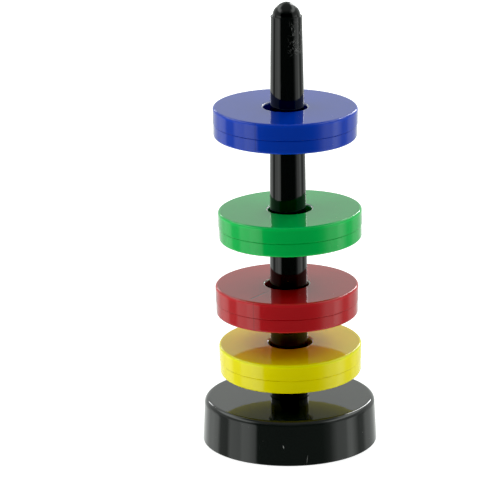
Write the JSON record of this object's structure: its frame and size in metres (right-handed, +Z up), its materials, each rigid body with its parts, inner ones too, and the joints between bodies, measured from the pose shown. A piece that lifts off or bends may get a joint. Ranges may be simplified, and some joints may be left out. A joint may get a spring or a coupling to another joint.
{
  "type": "floating ring magnet stand",
  "caption": "Round base with a tapered post and coloured ring magnets that float apart on it by repulsion; each ring slides, spins and lifts off.",
  "frame": {"origin": "centre of the base's resting face", "axes": "+Z up along the post; the object is nearly the same all round, and the rings' small offsets and leans are set out in X and Y"},
  "size_m": [0.0406, 0.0406, 0.1039],
  "materials": {
    "black_plastic": "gloss",
    "yellow_plastic": "gloss",
    "red_plastic": "gloss",
    "green_plastic": "gloss",
    "blue_plastic": "gloss",
    "ferrite": "matte",
    "zinc_steel": "satin"
  },
  "bodies": {
    "stand": {"base_shell": "black_plastic", "base_plate": "black_plastic", "base_magnet": "ferrite", "post": "black_plastic", "post_tip": "black_plastic", "post_screw": "zinc_steel"},
    "yellow_core": {"yellow_magnet": "ferrite"},
    "yellow_case": {"yellow_upper_shell": "yellow_plastic", "yellow_lower_shell": "yellow_plastic"},
    "red_core": {"red_magnet": "ferrite"},
    "red_case": {"red_upper_shell": "red_plastic", "red_lower_shell": "red_plastic"},
    "green_core": {"green_magnet": "ferrite"},
    "green_case": {"green_upper_shell": "green_plastic", "green_lower_shell": "green_plastic"},
    "blue_core": {"blue_magnet": "ferrite"},
    "blue_case": {"blue_upper_shell": "blue_plastic", "blue_lower_shell": "blue_plastic"}
  },
  "joints": [
    {"name": "yellow_float", "type": "slide", "parent": "stand", "child": "yellow_core", "axis": [0, 0, 1], "range_m": [-0.0054, 0.09], "stiffness_N_per_m": 53, "springref_m": 0.00999},
    {"name": "yellow_spin", "type": "hinge", "parent": "yellow_core", "child": "yellow_case", "pos_m": [0.00024, -0.00008, 0.02356], "axis": [-0.0119, -0.0359, 0.9993], "continuous": true},
    {"name": "red_float", "type": "slide", "parent": "yellow_core", "child": "red_core", "axis": [0, 0, 1], "range_m": [-0.0065, 0.076], "stiffness_N_per_m": 40, "springref_m": 0.00992},
    {"name": "red_spin", "type": "hinge", "parent": "red_core", "child": "red_case", "pos_m": [-0.00042, 0.00012, 0.03765], "axis": [-0.0031, -0.0096, 0.9999], "continuous": true},
    {"name": "green_float", "type": "slide", "parent": "red_core", "child": "green_core", "axis": [0, 0, 1], "range_m": [-0.0106, 0.058], "stiffness_N_per_m": 29, "springref_m": 0.00913},
    {"name": "green_spin", "type": "hinge", "parent": "green_core", "child": "green_case", "pos_m": [0.00039, -0.00012, 0.05565], "axis": [-0.0188, -0.008, 0.9998], "continuous": true},
    {"name": "blue_float", "type": "slide", "parent": "green_core", "child": "blue_core", "axis": [0, 0, 1], "range_m": [-0.0163, 0.035], "stiffness_N_per_m": 15, "springref_m": 0.00882},
    {"name": "blue_spin", "type": "hinge", "parent": "blue_core", "child": "blue_case", "pos_m": [-0.00044, 0.00008, 0.0797], "axis": [0.0101, -0.0248, 0.9996], "continuous": true}
  ]
}
